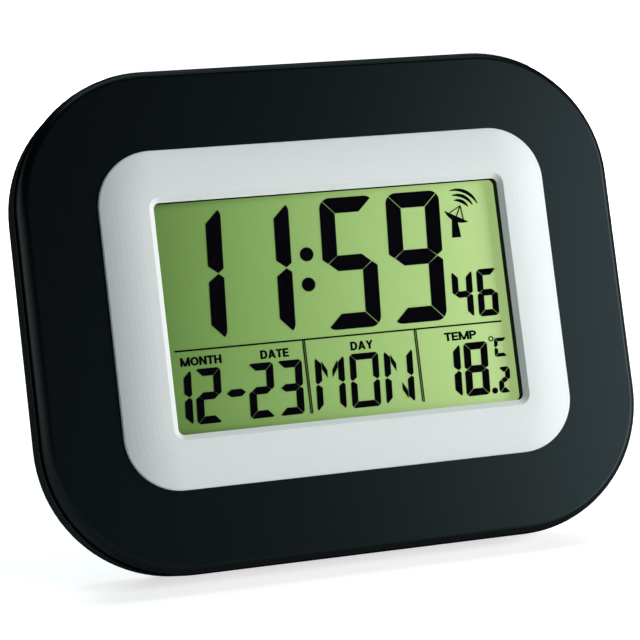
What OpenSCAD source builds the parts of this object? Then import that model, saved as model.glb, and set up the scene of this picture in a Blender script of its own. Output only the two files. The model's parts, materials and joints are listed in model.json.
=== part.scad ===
// Radio-controlled alarm clock with a large liquid crystal display, leaning on a fold-out stand.
// Every piece is drawn upright first: x to the right of the face, y from the face to the back,
// z up from the lowest edge of the case. lean() then tilts it back onto the table plane z = 0.

/* [Case] */
// Width of the case
body_w = 229; // [210:1:280]
// Height of the case, measured along its face
body_h = 184; // [178:1:240]
// Depth of the case, from the flat front face to the back
body_d = 26.5; // [24:0.5:40]
// Corner radius of the case outline
corner_r = 50.5; // [30:0.5:60]
// Thickness of the case walls
wall = 2.3; // [1.8:0.1:3]
// How far the rounded front rim reaches in over the face
rim_in = 3.5; // [1:0.1:5]
// How far the rounded front rim reaches back along the side
rim_deep = 6.5; // [2:0.1:9]
// Rounding of the back edge
back_round = 2; // [0.5:0.1:3]
// Depth of the parting plane between the front housing and the rear cover
split_y = 12; // [11:0.5:16]
// Angle at which the case leans back on the table
lean_angle = 18; // [14:0.5:24]
// Depth of the flat land cut along the lowest edge
rest_cut = 1.2; // [0.8:0.1:1.6]

/* [Bezel] */
// Outer width of the silver bezel
bezel_w = 172; // [160:1:176]
// Outer height of the silver bezel
bezel_h = 123.2; // [116:0.2:130]
// Outer corner radius of the bezel
bezel_r = 20.5; // [20:0.1:30]
// Corner radius of the window opening
window_r = 2.2; // [1:0.1:4]
// Width of the domed band between the outer edge and the bevel
bezel_border = 17.6; // [15:0.1:18]
// Width of the bevel around the window
bevel_w = 2; // [0.5:0.1:2.4]
// Depth of the bevel around the window
bevel_d = 1.7; // [0.8:0.1:2]
// Height of the bezel's outer edge above the face
bezel_proud = 1.2; // [0.8:0.1:2]
// Rise of the domed band from the outer edge to the bevel
bezel_crown = 3.5; // [2:0.1:4]

/* [Display] */
// Thickness of the clear window
lens_t = 1.3; // [0.8:0.1:1.5]
// How far the clear window reaches past its opening
lens_margin = 2.2; // [1:0.1:3]
// Thickness of each display glass
glass_t = 1.1; // [0.7:0.1:1.3]
// How far the display glass reaches past the window
glass_margin = 4.5; // [4:0.1:6]
// Thickness of the dark display segments
segment_t = 0.25; // [0.1:0.05:0.3]
// Height of the hour and minute digits
time_h = 49.1; // [40:0.1:50]
// Height of the seconds digits
second_h = 17.9; // [12:0.1:20]
// Height of the calendar and temperature digits
date_h = 20.05; // [14:0.05:21]
// Sideways lean of the digits per unit of height
digit_slant = 0.055; // [0:0.005:0.08]

/* [Stand] */
// Width of the stand blade
stand_w = 56; // [30:1:64]
// Distance from the hinge to the foot of the stand
stand_len = 70; // [50:0.5:74]
// Thickness of the stand blade
stand_t = 2.8; // [2:0.1:3.2]
// Angle between the open stand and the back
stand_open = 26; // [22:0.5:30]
// Radius of the stand's hinge pins
stand_pin_r = 2; // [1.2:0.1:2.4]

/* [Battery] */
// Radius of a battery cell
cell_r = 7.1; // [6.5:0.05:7.25]
// Length of a battery cell with its terminal
cell_len = 50.4; // [44:0.1:50.5]
// Thickness of the battery door
door_t = 1.7; // [1.2:0.1:2]

/* [Buttons] */
// Distance between neighbouring buttons
button_pitch = 22; // [18:0.5:24]
// Radius of a button cap
button_r = 4.5; // [3:0.1:5.5]
// How far the buttons stand out of the back
button_proud = 1.2; // [0.8:0.1:3]

/* [Electronics] */
// Thickness of the circuit boards
board_t = 1.6; // [1:0.1:1.8]
// Radius of the ferrite rod
rod_r = 4; // [2.5:0.1:4.5]
// Length of the ferrite rod
rod_len = 60; // [40:1:66]
// Radius of the sounder
sounder_r = 12; // [8:0.1:14]

/* [Fasteners] */
// Radius of the wall hook's round entry
hook_r = 4.5; // [3.5:0.1:5.5]
// Half width of the wall hook's slot
hook_slot_r = 2.2; // [1.5:0.1:2.4]
// Shank radius of the case screws
screw_r = 1.3; // [1:0.05:1.4]
// Shank radius of the board screws
board_screw_r = 0.9; // [0.7:0.05:1.1]

/* [Hidden] */
$fn = 64;

// Clearances between pieces, and how far a cut runs past what it cuts
slip = 0.3;
snug = 0.15;
seat = 0.2;
pin_play = 0.08;
screw_play = 0.05;
side_play = 0.5;
over = 1;

// Colours
black_plastic = [0.09, 0.1, 0.11];
silver_paint = [0.84, 0.87, 0.87];
clear_plastic = [0.85, 0.92, 0.92, 0.35];
display_green = [0.6, 0.72, 0.42];
display_ink = [0.03, 0.03, 0.06];
board_green = [0.1, 0.32, 0.18];
flex_amber = [0.75, 0.55, 0.25];
cell_amber = [0.75, 0.55, 0.2];
sleeve_blue = [0.15, 0.2, 0.4];
ferrite_grey = [0.2, 0.2, 0.22];
copper = [0.7, 0.38, 0.2];
steel = [0.72, 0.72, 0.74];
white_plastic = [0.88, 0.88, 0.85];
rubber_black = [0.06, 0.06, 0.06];

// Case: centre of the face, inside of the back, and the line on which the case rests
face_z = body_h / 2;
back_in = body_d - wall;
back_root = back_in + wall / 2;
rim_step = 11.25;
rest_back = 2.3;
rest_y = body_d - rest_back;
rest_z = rest_cut / cos(lean_angle) - rest_back * tan(lean_angle);
seam = 0.4;
lip_h = 2.5;
lip_t = 1.2;

// Window opening and bezel
window_w = bezel_w - 2 * (bezel_border + bevel_w);
window_h = bezel_h - 2 * (bezel_border + bevel_w);
crown_y = -bezel_proud - bezel_crown;
lip_y = crown_y + bevel_d;
bezel_edge = 0.4;
bezel_land = 1.5;
band_r = bezel_r - bezel_border;
dome_w = bezel_border - bezel_land - bezel_edge;
bezel_steps = 8;
bezel_floor = -1;
skirt_t = 1.8;
skirt_seat = 1;
collar_t = 1.8;
stake_r = 1.5;
stake_end = 0.8;
stake_x = 55;
stake_places = [
    for (sx = [-1, 1], sz = [-1, 1])
        [sx * stake_x, face_z + sz * (bezel_h / 2 - skirt_t - 2 * stake_r)]];

// Layers of the display, from the clear window to the main board
lens_gap = 0.4;
seal_set = 0.6;
lens_y = wall - lens_gap - lens_t;
glass_w = window_w + 2 * glass_margin;
glass_h = window_h + 2 * glass_margin;
glass_ledge = 4;
rear_glass_h = glass_h - glass_ledge;
film_t = 0.25;
film_y = wall + 2 * glass_t;
board_gap = 0.75;
board_y = film_y + film_t + board_gap;
board_back = board_y + board_t;
holder_t = 2.8;
holder_w = glass_w + 2 * (slip + holder_t);
holder_h = glass_h + 2 * (slip + holder_t);
strip_end = 6;
strip_h = 3;

// Main board and its posts
post_r = 3;
post_x = holder_w / 2 + side_play + post_r;
post_z = 40;
post_places = [
    for (sx = [-1, 1], sz = [-1, 1])
        [sx * post_x, face_z + sz * post_z]];
board_w = 2 * (post_x + post_r + side_play);
board_h = holder_h + 2 * side_play;
board_screw_head_r = 2.2;
board_screw_head_h = 1.5;
board_screw_tip = 0.6;

// Pieces on the main board
chip_x = 0;
chip_drop = 25;
chip_z = face_z - chip_drop;
chip_w = 14;
chip_t = 1.4;
crystal_r = 1.1;
crystal_len = 6.5;
cap_r = 2.5;
cap_h = 7;
cap_pitch = 7.5;
sensor_r = 2.2;
sensor_h = 4.5;
sensor_x = sensor_r + side_play - board_w / 2;
sensor_z = face_z - chip_drop;
sensor_stalk_r = 0.7;
radio_x = -50;
radio_rise = 36;
radio_z = face_z + radio_rise;
radio_w = 24;
radio_h = 14;
radio_t = 1;
can_w = 12;
can_h = 10;
can_t = 2.6;
jumper_w = 12;
jumper_t = 0.6;
jumper_x = 33;

// Case screws, seated in deep wells of the rear cover
boss_r = 3.4;
boss_edge = 7.2;
boss_inset = corner_r * (1 - cos(45)) + boss_edge;
boss_side_inset = 10.5;
well_r = 3;
well_t = 1.3;
well_floor = 2;
screw_seat = split_y + well_floor;
screw_head_r = 2.7;
screw_head_h = 1.8;
screw_tip = 1.2;
cross_reach = 1.2;
cross_slot = 0.6;
cross_deep = 0.8;
boss_places = [
    for (sx = [-1, 1], sz = [-1, 1])
        [sx * (body_w / 2 - boss_inset), face_z + sz * (body_h / 2 - boss_inset)],
    for (sx = [-1, 1])
        [sx * (body_w / 2 - boss_side_inset), face_z]];

// Stand and its recess in the back
barrel_skin = 0.1;
barrel_r = stand_t + barrel_skin;
stand_y = body_d - barrel_r - side_play;
stand_z = rest_z + stand_len * cos(stand_open)
    + (stand_y - rest_y + stand_len * sin(stand_open)) * tan(lean_angle);
stand_extra = 0.5;
stand_pin_len = 3;
heel_len = 4.5;
heel_t = 2.4;
rib_x = stand_w / 3;
rib_t = 1.6;
rib_h = 1.6;
rib_end = 10;
thumb_r = 7;
recess_w = stand_w + 2 * side_play;
recess_y = stand_y - barrel_r - side_play;
recess_bottom = stand_z - stand_len - stand_extra - side_play;
recess_top = stand_z + heel_len + over;
recess_wall = 1.6;
recess_cheek = stand_pin_len + recess_wall;

// Battery bay and its door
cell_gap = 0.6;
nub_len = 1.2;
nub_r = 2.6;
contact_t = 0.5;
contact_w = 11;
leaf_h = 5.8;
leaf_w = 6;
cells_w = cell_len + leaf_h + 2 * contact_t + 2 * screw_play;
cells_h = 4 * cell_r + cell_gap + 2 * slip;
bay_floor = 1.1;
bay_gap = 0.5;
bay_deep = bay_floor + 2 * cell_r + slip + door_t + 2 * seat;
bay_back = max(body_d, board_back + bay_gap + bay_deep);
door_seat_y = bay_back - door_t - seat;
cell_y = door_seat_y - slip - cell_r;
bay_y = cell_y - cell_r - seat;
bay_wall = 1.4;
bay_clear = 5.5;
door_over = 2.7;
door_w = cells_w + 2 * door_over;
door_h = cells_h + 2 * door_over;
frame_t = 3;
frame_deep = 5.2;
frame_w = door_w + 2 * (slip + frame_t);
frame_h = door_h + 2 * (slip + frame_t);
frame_y = bay_back > body_d ? bay_back : back_root;
battery_z = recess_top + recess_wall + bay_clear + frame_h / 2;
low_cell_z = battery_z - cell_r - cell_gap / 2;
high_cell_z = battery_z + cell_r + cell_gap / 2;
door_barrel_r = 1.6;
door_pin_r = 1;
door_pin_len = 2;
door_axis_y = bay_back - door_barrel_r;
door_axis_z = battery_z - door_h / 2 + door_barrel_r;
latch_w = 12;
latch_h = 2;
grip_count = 4;
grip_drop = 5;
grip_pitch = 2.2;
grip_w = 18;
grip_h = 1.1;
grip_deep = 0.6;

// Buttons, their switches and the key board
button_count = 6;
button_z = face_z + board_h / 2;
button_x = [for (i = [0:button_count - 1]) (i - (button_count - 1) / 2) * button_pitch];
button_lip = 1.3;
button_flange_t = 1.2;
button_back_gap = 0.4;
button_stem_r = 1.6;
button_stem_len = 1.4;
dish_ball = 14;
dish_depth = 0.4;
plunger_r = 1.7;
plunger_len = 2.3;
plunger_show = 0.7;
switch_w = 6;
switch_t = 3.5;
switch_well = 2.4;
flange_y = back_in - button_back_gap - button_flange_t;
stem_y = flange_y - button_stem_len;
switch_y = stem_y - plunger_show - switch_t;
key_board_y = switch_y - board_t;
key_board_h = 14;
key_board_w = (button_count - 1) * button_pitch + key_board_h;
key_post_r = 2.6;
key_post_x = [-2 * button_pitch, 0, 2 * button_pitch];
key_screw_bite = 4;
jumper_z = min(button_z - key_board_h / 4, face_z + board_h / 2 - jumper_t);

// Sounder, vents and the wall hook
sounder_inset = 36.5;
sounder_drop = 20;
sounder_x = body_w / 2 - sounder_inset;
sounder_z = face_z - sounder_drop;
sounder_h = 5;
sounder_hole_r = 1.2;
sounder_hole_ring = 5;
sounder_hole_step = 60;
vent_w = 16;
vent_h = 1.6;
vent_pitch = 4;
vent_half = 2;
hook_drop = 21;
hook_z = body_h - hook_drop;
hook_slot_len = 8;

// Aerial: a ferrite rod in two clips on the front housing
rod_x = -50;
rod_drop = 24;
rod_z = body_h - rod_drop;
rod_lift = 2;
rod_y = wall + rod_lift + rod_r;
coil_t = 1.2;
coil_len = 22;
clip_w = 5;
clip_wall = 1.6;

// Segments of a digit: which are lit, and shares that shape their ends
DIGITS = [[0, 1, 2, 3, 4, 5], [1, 2], [0, 1, 6, 4, 3], [0, 1, 6, 2, 3], [5, 6, 1, 2],
    [0, 5, 6, 2, 3], [0, 5, 6, 4, 2, 3], [0, 1, 2], [0, 1, 2, 3, 4, 5, 6], [0, 1, 2, 3, 5, 6]];
LETTER_C = [0, 5, 4, 3];
DASH = [6];
WEEKDAY = [[1, 2, 4, 5, 7, 8], [0, 1, 2, 3, 4, 5], [1, 2, 4, 5, 7, 9]];
arc_steps = 3;
mitre_angle = 135;
mitre_share = 0.7;
tip_share = 0.354;
tip_slope = 0.75;
shoulder_share = 0.3;
diagonal_top = 0.7;
diagonal_foot = 0.9;
diagonal_w = 0.85;
diagonal_bend = 0.55;
small_gap = 0.18;
small_round = 1.4;

// Hours, minutes and seconds, placed from the centre of the face
time_shown = [1, 1, 5, 9];
time_x = [-64.3, -38.4, -5.2, 20.8];
time_z = -9.2;
time_w = 21.2;
time_stroke = 5.8;
time_gap = 0.3;
time_round = 3.6;
colon_x = -10.7;
colon_z = [8.5, 19.7];
colon_r = 2.6;
second_shown = [4, 6];
second_x = 44.9;
second_pitch = 10;
second_w = 8.1;
second_stroke = 2.45;

// Calendar and temperature, placed from the centre of the face
date_z = -38.6;
date_w = 9.5;
date_stroke = 2.75;
date_shown = [1, 2, 2, 3, 1, 8];
date_x = [-68.8, -57.8, -37.9, -26.9, 35, 46];
dash_x = -47.5;
day_x = -12.4;
day_pitch = 13.4;
day_w = 11.2;
day_stroke = 2.4;
point_x = 57.5;
point_r = 1.15;
tenth_shown = 2;
tenth_x = 59.3;
tenth_w = 4.6;
tenth_h = 9.8;
tenth_stroke = 1.95;
unit_x = 59.2;
unit_z = -24.9;
unit_w = 5;
unit_h = 7.1;
unit_stroke = 1.35;
degree_x = 58.4;
degree_r = 1;
degree_drop = 0.1;
degree_share = 0.62;

// Lines between the fields, and the reception mark
field_w = 126.8;
field_h = 27.2;
field_z = -11.6;
field_line = 0.6;
field_pair = 0.65;
field_pair_line = 0.4;
field_x = [-14.7, 28.8];
mark_x = 50.7;
mark_z = 29.4;
mark_tilt = 27.5;
bowl_half = 5.1;
bowl_deep = 2.05;
feed_len = 4.4;
strut_x = [-3.3, 0, 3.2];
strut_t = 0.4;
pedestal_x = -0.9;
pedestal_w = 3.6;
pedestal_top_w = 2.1;
pedestal_h = 8;
wave_rise = 2.8;
wave_r = [4, 6, 8];
wave_t = 1.25;
wave_half = 49;
wave_taper = 54;

// Tilts an upright piece back about the table line
module lean() {
    rotate([-lean_angle, 0, 0])
        translate([0, -rest_y, -rest_z])
            children();
}

// The same, with everything below the table plane cut away
module lean_on_table() {
    difference() {
        lean() children();
        translate([-body_w, -body_h, -body_h])
            cube([2 * body_w, 2 * body_h, body_h]);
    }
}

// Extrudes an outline of the face from depth y0 to depth y1
module slab(y0, y1) {
    translate([0, y1, 0])
        rotate([90, 0, 0])
            linear_extrude(y1 - y0)
                children();
}

// A round peg along the depth, from y0 to y1
module peg(x, z, y0, y1, r) {
    translate([x, y0, z])
        rotate([-90, 0, 0])
            cylinder(h = y1 - y0, r = r);
}

// A round bar along x, centred at x
module bar(x, y, z, len, r) {
    translate([x - len / 2, y, z])
        rotate([0, 90, 0])
            cylinder(h = len, r = r);
}

// A block given by its centre in the face and its depths
module block(x, z, w, h, y0, y1) {
    translate([x - w / 2, y0, z - h / 2])
        cube([w, y1 - y0, h]);
}

// A rounded rectangle centred on the face
module face_outline(w, h, r) {
    translate([0, face_z]) {
        square([w - 2 * r, h], center = true);
        square([w, h - 2 * r], center = true);
        for (sx = [-1, 1], sz = [-1, 1])
            translate([sx * (w / 2 - r), sz * (h / 2 - r)])
                circle(r);
    }
}

// Carries a section around a rounded rectangle on the face.
// The section gives radius, from the centre of the corner, and depth.
module around(w, h, r) {
    turns = [[1, -1, 0], [-1, -1, 90], [-1, 1, 180], [1, 1, 270]];
    translate([0, 0, face_z]) {
        for (t = turns)
            translate([t[0] * (w / 2 - r), 0, t[1] * (h / 2 - r)])
                rotate([-90, 0, 0])
                    rotate([0, 0, t[2]])
                        rotate_extrude(angle = 90)
                            children();
        for (side = [0, 1]) {
            mirror([side, 0, 0])
                translate([w / 2 - r, 0, r - h / 2])
                    linear_extrude(h - 2 * r)
                        children();
            mirror([0, 0, side])
                translate([w / 2 - r, 0, h / 2 - r])
                    rotate([0, -90, 0])
                        linear_extrude(w - 2 * r)
                            children();
        }
    }
}

// Section of the front housing's outside, with its rounded rim and its half of the seam groove
function front_section() = concat(
    [[0, 0]],
    [for (a = [0:rim_step:90]) [corner_r - rim_in * (1 - sin(a)), rim_deep * (1 - cos(a))]],
    [[corner_r, split_y - seam], [corner_r - seam, split_y], [0, split_y]]);

// Section of the rear cover's outside, with its half of the seam groove and its rounded back edge
function rear_section() = concat(
    [[0, split_y], [corner_r - seam, split_y], [corner_r, split_y + seam]],
    [for (a = [0:rim_step:90]) [corner_r - back_round * (1 - cos(a)), body_d - back_round * (1 - sin(a))]],
    [[0, body_d]]);

// The outside of one case half
module case_half(section, y0, y1) {
    around(body_w, body_h, corner_r) polygon(section);
    block(0, face_z, body_w - 2 * corner_r, body_h - 2 * corner_r, y0, y1);
}

// Outline of the inside of the case, drawn in by a further amount
module inner_outline(inset) {
    face_outline(body_w - 2 * (wall + inset), body_h - 2 * (wall + inset), corner_r - wall - inset);
}

// Outline of the window, grown by an amount
module window_outline(grow) {
    face_outline(window_w + 2 * grow, window_h + 2 * grow, window_r + grow);
}

// Outline of the bezel, grown by an amount
module bezel_outline(grow) {
    face_outline(bezel_w + 2 * grow, bezel_h + 2 * grow, bezel_r + grow);
}

// Front housing: face plate, side wall, window collar, screw bosses and board posts
module front_housing() {
    color(black_plastic) lean() difference() {
        union() {
            difference() {
                case_half(front_section(), 0, split_y);
                slab(wall, split_y + over) inner_outline(0);
            }
            slab(bezel_floor + seat, wall / 2) bezel_outline(-skirt_t - slip);
            slab(lip_y, wall / 2) window_outline(collar_t);
            for (p = boss_places) peg(p[0], p[1], wall / 2, split_y, boss_r);
            for (p = post_places) peg(p[0], p[1], wall / 2, board_y, post_r);
        }
        slab(-over, skirt_seat) difference() {
            bezel_outline(snug);
            bezel_outline(-skirt_t - slip);
        }
        slab(lip_y - over, wall + over) window_outline(0);
        slab(lens_y, wall + over) window_outline(lens_margin + snug);
        for (p = stake_places) peg(p[0], p[1], bezel_floor, wall + over, stake_r + slip);
        for (p = boss_places) peg(p[0], p[1], wall / 2, split_y + over, screw_r + screw_play);
        for (p = post_places) peg(p[0], p[1], wall / 2, board_y + over, board_screw_r + screw_play);
    }
}

// Section of the bezel's band: flat land, dome, outer edge, skirt and hollow underside
function band_section() = concat(
    [[band_r, bezel_floor], [band_r, crown_y]],
    [for (s = [0:1 / bezel_steps:1])
        [band_r + bezel_land + s * dome_w, crown_y + bezel_crown * s * s]],
    [[bezel_r, bezel_edge - bezel_proud],
        [bezel_r, skirt_seat],
        [bezel_r - skirt_t, skirt_seat],
        [bezel_r - skirt_t, bezel_floor]]);

// Section of the bezel's bevel, with the land that joins it to the band
function bevel_section() = [
    [window_r, lip_y],
    [window_r + bevel_w, crown_y],
    [window_r + bevel_w + bezel_land, crown_y],
    [window_r + bevel_w + bezel_land, bezel_floor],
    [window_r + collar_t + slip, bezel_floor],
    [window_r + collar_t + slip, lip_y]];

// Silver bezel with four stakes that pass through the face plate
module bezel() {
    color(silver_paint) lean() {
        difference() {
            around(bezel_w, bezel_h, bezel_r) polygon(band_section());
            slab(crown_y - over, bezel_floor + over) window_outline(bevel_w + bezel_land / 2);
        }
        around(window_w, window_h, window_r) polygon(bevel_section());
        for (p = stake_places) peg(p[0], p[1], bezel_floor - seat, wall + stake_end, stake_r);
    }
}

// Clear window behind the collar
module display_window() {
    color(clear_plastic) lean()
        slab(lens_y, lens_y + lens_t) window_outline(lens_margin);
}

// Black foam seal between the clear window and the display
module display_seal() {
    color(rubber_black) lean()
        slab(wall - lens_gap, wall) difference() {
            window_outline(lens_margin);
            window_outline(seal_set);
        }
}

// Front glass of the display, with the contact ledge along its lower edge
module lcd_front_glass() {
    color(display_green) lean()
        block(0, face_z, glass_w, glass_h, wall, wall + glass_t);
}

// Rear glass of the display
module lcd_rear_glass() {
    color(display_green) lean()
        block(0, face_z + glass_ledge / 2, glass_w, rear_glass_h, wall + glass_t, film_y);
}

// Reflecting film behind the display
module lcd_reflector() {
    color(silver_paint) lean()
        block(0, face_z + glass_ledge / 2, glass_w, rear_glass_h, film_y, film_y + film_t);
}

// Points on an arc about c, from angle a0 to a1
function arc(c, r, a0, a1) =
    [for (i = [0:arc_steps])
        let (a = a0 + (a1 - a0) * i / arc_steps)
        [c[0] + r * cos(a), c[1] + r * sin(a)]];
function moved(points, dx, dz) = [for (p = points) [p[0] + dx, p[1] + dz]];
function flip_x(points, w) = [for (p = points) [w - p[0], p[1]]];
function flip_z(points, h) = [for (p = points) [p[0], h - p[1]]];
function slanted(points) = [for (p = points) [p[0] + digit_slant * p[1], p[1]]];

// Top bar of a digit of width w, height h and stroke t, with gap g between segments and corner radius r
function top_bar(w, h, t, g, r) =
    let (e = g * mitre_share,
        left = moved(arc([r, h - r], r, mitre_angle, 90), e, 0),
        right = flip_x(left, w))
    concat(left, [for (i = [arc_steps:-1:0]) right[i]], [[w - t - e, h - t], [t + e, h - t]]);

// Upper left upright of a digit
function left_upright(w, h, t, g, r) =
    let (e = g * mitre_share, tip = t * tip_share, foot = h / 2 + g / 2)
    concat(moved(arc([r, h - r], r, mitre_angle, 180), 0, -e),
        [[0, foot + tip * tip_slope], [tip, foot], [t, foot + (t - tip) * tip_slope], [t, h - t - e]]);

// Middle bar of a digit
function middle_bar(w, h, t, g) =
    let (tip = t * tip_share + g, shoulder = t + g * shoulder_share, z = h / 2)
    [[tip, z], [shoulder, z + t / 2], [w - shoulder, z + t / 2],
        [w - tip, z], [w - shoulder, z - t / 2], [shoulder, z - t / 2]];

// Upper left diagonal of a letter, a short leaf beside the upright
function diagonal(w, h, t, g) =
    let (x0 = t + g, x1 = x0 + t * diagonal_w, top = h - t * diagonal_top, foot = h / 2 + t * diagonal_foot)
    [[x0, top], [x0, top + (foot - top) * (1 - diagonal_bend)], [x1, foot],
        [x1, foot + (top - foot) * (1 - diagonal_bend)]];

// Segment i of a digit: clockwise from the top bar, then the middle bar, then two diagonals
function segment(i, w, h, t, g, r) =
    i == 0 ? top_bar(w, h, t, g, r) :
    i == 1 ? flip_x(left_upright(w, h, t, g, r), w) :
    i == 2 ? flip_x(flip_z(left_upright(w, h, t, g, r), h), w) :
    i == 3 ? flip_z(top_bar(w, h, t, g, r), h) :
    i == 4 ? flip_z(left_upright(w, h, t, g, r), h) :
    i == 5 ? left_upright(w, h, t, g, r) :
    i == 6 ? middle_bar(w, h, t, g) :
    i == 7 ? diagonal(w, h, t, g) :
    i == 8 ? flip_x(diagonal(w, h, t, g), w) :
    flip_x(flip_z(diagonal(w, h, t, g), h), w);

// Lit segments, drawn with the cell's lower left corner at x, z from the face centre
module glyph(lit, x, z, w, h, t, g, r) {
    for (i = lit)
        translate([x, z]) polygon(slanted(segment(i, w, h, t, g, r)));
}

// Hours and minutes, with the colon
module time_digits() {
    for (i = [0:len(time_shown) - 1])
        glyph(DIGITS[time_shown[i]], time_x[i], time_z, time_w, time_h, time_stroke, time_gap, time_round);
    for (z = colon_z)
        translate([colon_x + digit_slant * z, z]) circle(colon_r);
}

// Seconds
module second_digits() {
    for (i = [0:len(second_shown) - 1])
        glyph(DIGITS[second_shown[i]], second_x + i * second_pitch, time_z,
            second_w, second_h, second_stroke, small_gap, small_round);
}

// Month and date, weekday and temperature
module lower_row() {
    for (i = [0:len(date_shown) - 1])
        glyph(DIGITS[date_shown[i]], date_x[i], date_z,
            date_w, date_h, date_stroke, small_gap, small_round);
    glyph(DASH, dash_x, date_z, date_w, date_h, date_stroke, small_gap, small_round);
    for (i = [0:len(WEEKDAY) - 1])
        glyph(WEEKDAY[i], day_x + i * day_pitch, date_z, day_w, date_h, day_stroke, small_gap, small_round);
    translate([point_x, date_z + point_r]) circle(point_r);
    glyph(DIGITS[tenth_shown], tenth_x, date_z, tenth_w, tenth_h, tenth_stroke, small_gap, small_round);
    glyph(LETTER_C, unit_x, unit_z, unit_w, unit_h, unit_stroke, small_gap, small_round / 2);
    translate([degree_x, unit_z + unit_h - degree_drop]) difference() {
        circle(degree_r);
        circle(degree_r * degree_share);
    }
}

// Lines that part the fields, the upright ones in pairs
module field_lines() {
    translate([0, field_z]) square([field_w, field_line], center = true);
    for (x = field_x, s = [-1, 1])
        translate([x + s * field_pair / 2, field_z - field_h / 2])
            square([field_pair_line, field_h], center = true);
}

// A straight stroke of width t between two points
module stroke(a, b, t) {
    run = b - a;
    translate(a) rotate(atan2(run[1], run[0])) translate([0, -t / 2]) square([norm(run), t]);
}

// How far the inner circle of a wave is lowered, so that the wave thins out at the taper angle
function wave_shift(r) = wave_t * (2 * r - wave_t) / (2 * (r * (1 - cos(wave_taper)) - wave_t));

// A wave that thins towards its ends, facing up
module wave(r) {
    shift = wave_shift(r);
    side = 2 * r * sin(wave_half);
    top = 2 * r * cos(wave_half);
    intersection() {
        difference() {
            circle(r);
            translate([0, -shift]) circle(r - wave_t + shift);
        }
        polygon([[0, 0], [side, top], [-side, top]]);
    }
}

// Reception mark: a tilted dish with its feed on a pedestal, and three waves
module reception_mark() {
    bowl_r = (bowl_half * bowl_half + bowl_deep * bowl_deep) / (2 * bowl_deep);
    translate([mark_x, mark_z]) {
        translate([pedestal_x, 0])
            polygon([[-pedestal_w / 2, -pedestal_h], [pedestal_w / 2, -pedestal_h],
                [pedestal_top_w / 2, -bowl_deep / 2], [-pedestal_top_w / 2, -bowl_deep / 2]]);
        rotate(-mark_tilt) {
            intersection() {
                translate([0, bowl_r - bowl_deep]) circle(bowl_r);
                translate([0, -bowl_deep]) square([2 * bowl_half, 2 * bowl_deep], center = true);
            }
            for (x = strut_x) stroke([x, -strut_t], [0, feed_len], strut_t);
            translate([0, wave_rise])
                for (r = wave_r) wave(r);
        }
    }
}

// Dark display segments, lying on the front glass
module lcd_segments() {
    color(display_ink) lean()
        slab(wall - segment_t, wall) translate([0, face_z]) {
            time_digits();
            second_digits();
            lower_row();
            field_lines();
            reception_mark();
        }
}

// Frame that holds the display against the face plate
module lcd_holder() {
    color(white_plastic) lean() difference() {
        block(0, face_z, holder_w, holder_h, wall, board_y);
        block(0, face_z, glass_w + 2 * slip, glass_h + 2 * slip, wall - over, board_y + over);
    }
}

// Rubber contact strip between the display's ledge and the main board
module contact_strip() {
    color(rubber_black) lean()
        block(0, face_z - glass_h / 2 + glass_ledge / 2, glass_w - 2 * strip_end, strip_h,
            wall + glass_t, board_y);
}

// Main circuit board
module main_board() {
    color(board_green) lean() difference() {
        block(0, face_z, board_w, board_h, board_y, board_back);
        for (p = post_places) peg(p[0], p[1], board_y - over, board_back + over, board_screw_r + slip);
    }
}

// Controller chip on the main board
module controller_chip() {
    color(rubber_black) lean()
        block(chip_x, chip_z, chip_w, chip_w, board_back, board_back + chip_t);
}

// Crystal that keeps the time between radio signals
module quartz_crystal() {
    color(steel) lean()
        bar(chip_x + chip_w, board_back + crystal_r + screw_play, chip_z, crystal_len, crystal_r);
}

// Two upright capacitors
module capacitors() {
    color(sleeve_blue) lean()
        for (i = [0, 1])
            peg(chip_x - chip_w - i * cap_pitch, chip_z, board_back, board_back + cap_h, cap_r);
}

// Temperature sensor bead on its stalk, in front of the vents
module temperature_sensor() {
    color(rubber_black) lean() {
        peg(sensor_x, sensor_z, board_back, board_back + sensor_h, sensor_stalk_r);
        translate([sensor_x, board_back + sensor_h, sensor_z]) sphere(sensor_r);
    }
}

// Time signal receiver, a small board under a metal can
module radio_module() {
    color(steel) lean() {
        block(radio_x, radio_z, radio_w, radio_h, board_back, board_back + radio_t);
        block(radio_x, radio_z, can_w, can_h, board_back + radio_t / 2, board_back + can_t);
    }
}

// Ferrite rod of the aerial
module ferrite_rod() {
    color(ferrite_grey) lean() bar(rod_x, rod_y, rod_z, rod_len, rod_r);
}

// Winding around the middle of the ferrite rod
module antenna_coil() {
    color(copper) lean() difference() {
        bar(rod_x, rod_y, rod_z, coil_len, rod_r + coil_t);
        bar(rod_x, rod_y, rod_z, coil_len + 2 * over, rod_r + screw_play);
    }
}

// Clips that hold the ferrite rod
module antenna_clips() {
    color(white_plastic) lean() difference() {
        for (s = [-1, 1])
            block(rod_x + s * (rod_len / 2 - clip_w), rod_z, clip_w, 2 * (rod_r + clip_wall),
                wall, rod_y + rod_r / 2);
        bar(rod_x, rod_y, rod_z, rod_len + 2 * over, rod_r + screw_play);
    }
}

// Flat jumper between the main board and the key board
module flex_jumper() {
    color(flex_amber) lean()
        block(jumper_x, jumper_z, jumper_w, jumper_t, board_back, key_board_y);
}

// Board that carries the key switches
module key_board() {
    color(board_green) lean() difference() {
        block(0, button_z, key_board_w, key_board_h, key_board_y, switch_y);
        for (x = key_post_x) peg(x, button_z, key_board_y - over, switch_y + over, board_screw_r + slip);
    }
}

// Housings of the key switches
module switch_bodies() {
    color(rubber_black) lean() difference() {
        for (x = button_x) block(x, button_z, switch_w, switch_w, switch_y, switch_y + switch_t);
        for (x = button_x)
            peg(x, button_z, switch_y + switch_t - switch_well, switch_y + switch_t + over,
                plunger_r + slip);
    }
}

// Plunger of key switch i
module switch_plunger(i) {
    color(white_plastic) lean() peg(button_x[i - 1], button_z, stem_y - plunger_len, stem_y, plunger_r);
}

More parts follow.
